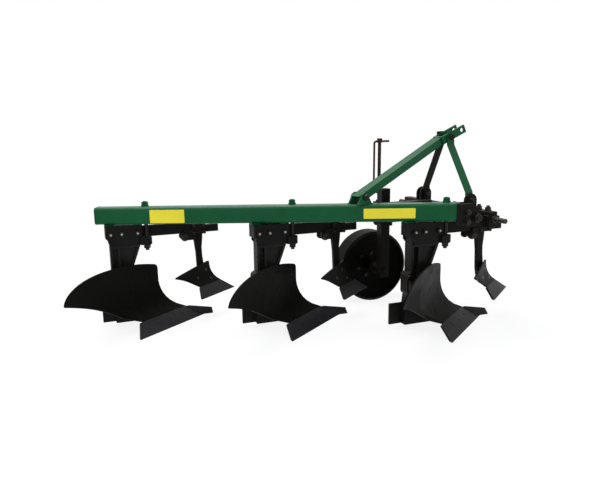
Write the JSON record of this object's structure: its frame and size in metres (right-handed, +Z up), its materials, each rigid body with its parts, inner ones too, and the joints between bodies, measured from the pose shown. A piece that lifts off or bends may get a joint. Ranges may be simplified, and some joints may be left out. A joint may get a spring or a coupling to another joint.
{
  "type": "mounted mouldboard plough",
  "caption": "Mounted right-hand plough: slanted beam with a row of curved mouldboard bodies, skimmers ahead of them, a hitch mast and a screw-set depth wheel.",
  "frame": {"origin": "middle of the footprint on the ground that the shares, landsides and wheel stand on", "axes": "+X is the way of travel, towards the tractor; +Y is to the left; +Z is up"},
  "size_m": [2.6722, 1.2118, 1.1718],
  "materials": {
    "green_paint": "satin",
    "black_paint": "satin",
    "dark_steel": "satin",
    "share_steel": "satin",
    "bare_steel": "worn"
  },
  "bodies": {
    "plough_frame": {"main_beam": "green_paint", "beam_pads": "green_paint", "beam_head": "dark_steel", "left_rail": "dark_steel", "front_crossbar": "dark_steel", "crossbar_ears": "dark_steel", "lower_pin_left": "bare_steel", "lower_pin_right": "bare_steel", "mast_leg_left": "dark_steel", "mast_leg_right": "green_paint", "mast_head": "green_paint", "mast_brace": "green_paint", "brace_foot": "green_paint", "mast_pins": "bare_steel", "body_bracket_1": "dark_steel", "body_bracket_2": "dark_steel", "body_bracket_3": "dark_steel", "draw_studs": "bare_steel", "stand_1": "black_paint", "stand_2": "black_paint", "stand_3": "black_paint", "frog_1": "black_paint", "frog_2": "black_paint", "frog_3": "black_paint", "mouldboard_1": "black_paint", "mouldboard_2": "black_paint", "mouldboard_3": "black_paint", "share_1": "share_steel", "share_2": "share_steel", "share_3": "share_steel", "landside_1": "black_paint", "landside_2": "black_paint", "landside_3": "black_paint", "wing_braces": "dark_steel", "skimmer_bar_1": "dark_steel", "skimmer_bar_2": "dark_steel", "skimmer_bar_3": "dark_steel", "skimmer_clamps": "dark_steel", "skimmer_stem_1": "dark_steel", "skimmer_stem_2": "dark_steel", "skimmer_stem_3": "dark_steel", "skimmer_board_1": "black_paint", "skimmer_board_2": "black_paint", "skimmer_board_3": "black_paint", "skimmer_share_1": "share_steel", "skimmer_share_2": "share_steel", "skimmer_share_3": "share_steel", "wheel_bracket": "dark_steel", "depth_screw": "bare_steel", "crank_handle": "bare_steel"},
    "wheel_carriage": {"wheel_post": "dark_steel", "wheel_axle": "bare_steel"},
    "depth_wheel": {"wheel": "black_paint"}
  },
  "joints": [
    {"name": "wheel_lift", "type": "slide", "parent": "plough_frame", "child": "wheel_carriage", "axis": [0, 0, 1], "range_m": [0, 0.27]},
    {"name": "wheel_spin", "type": "hinge", "parent": "wheel_carriage", "child": "depth_wheel", "pos_m": [0.67011, 0.45093, 0.24], "axis": [0, 1, 0], "continuous": true}
  ]
}
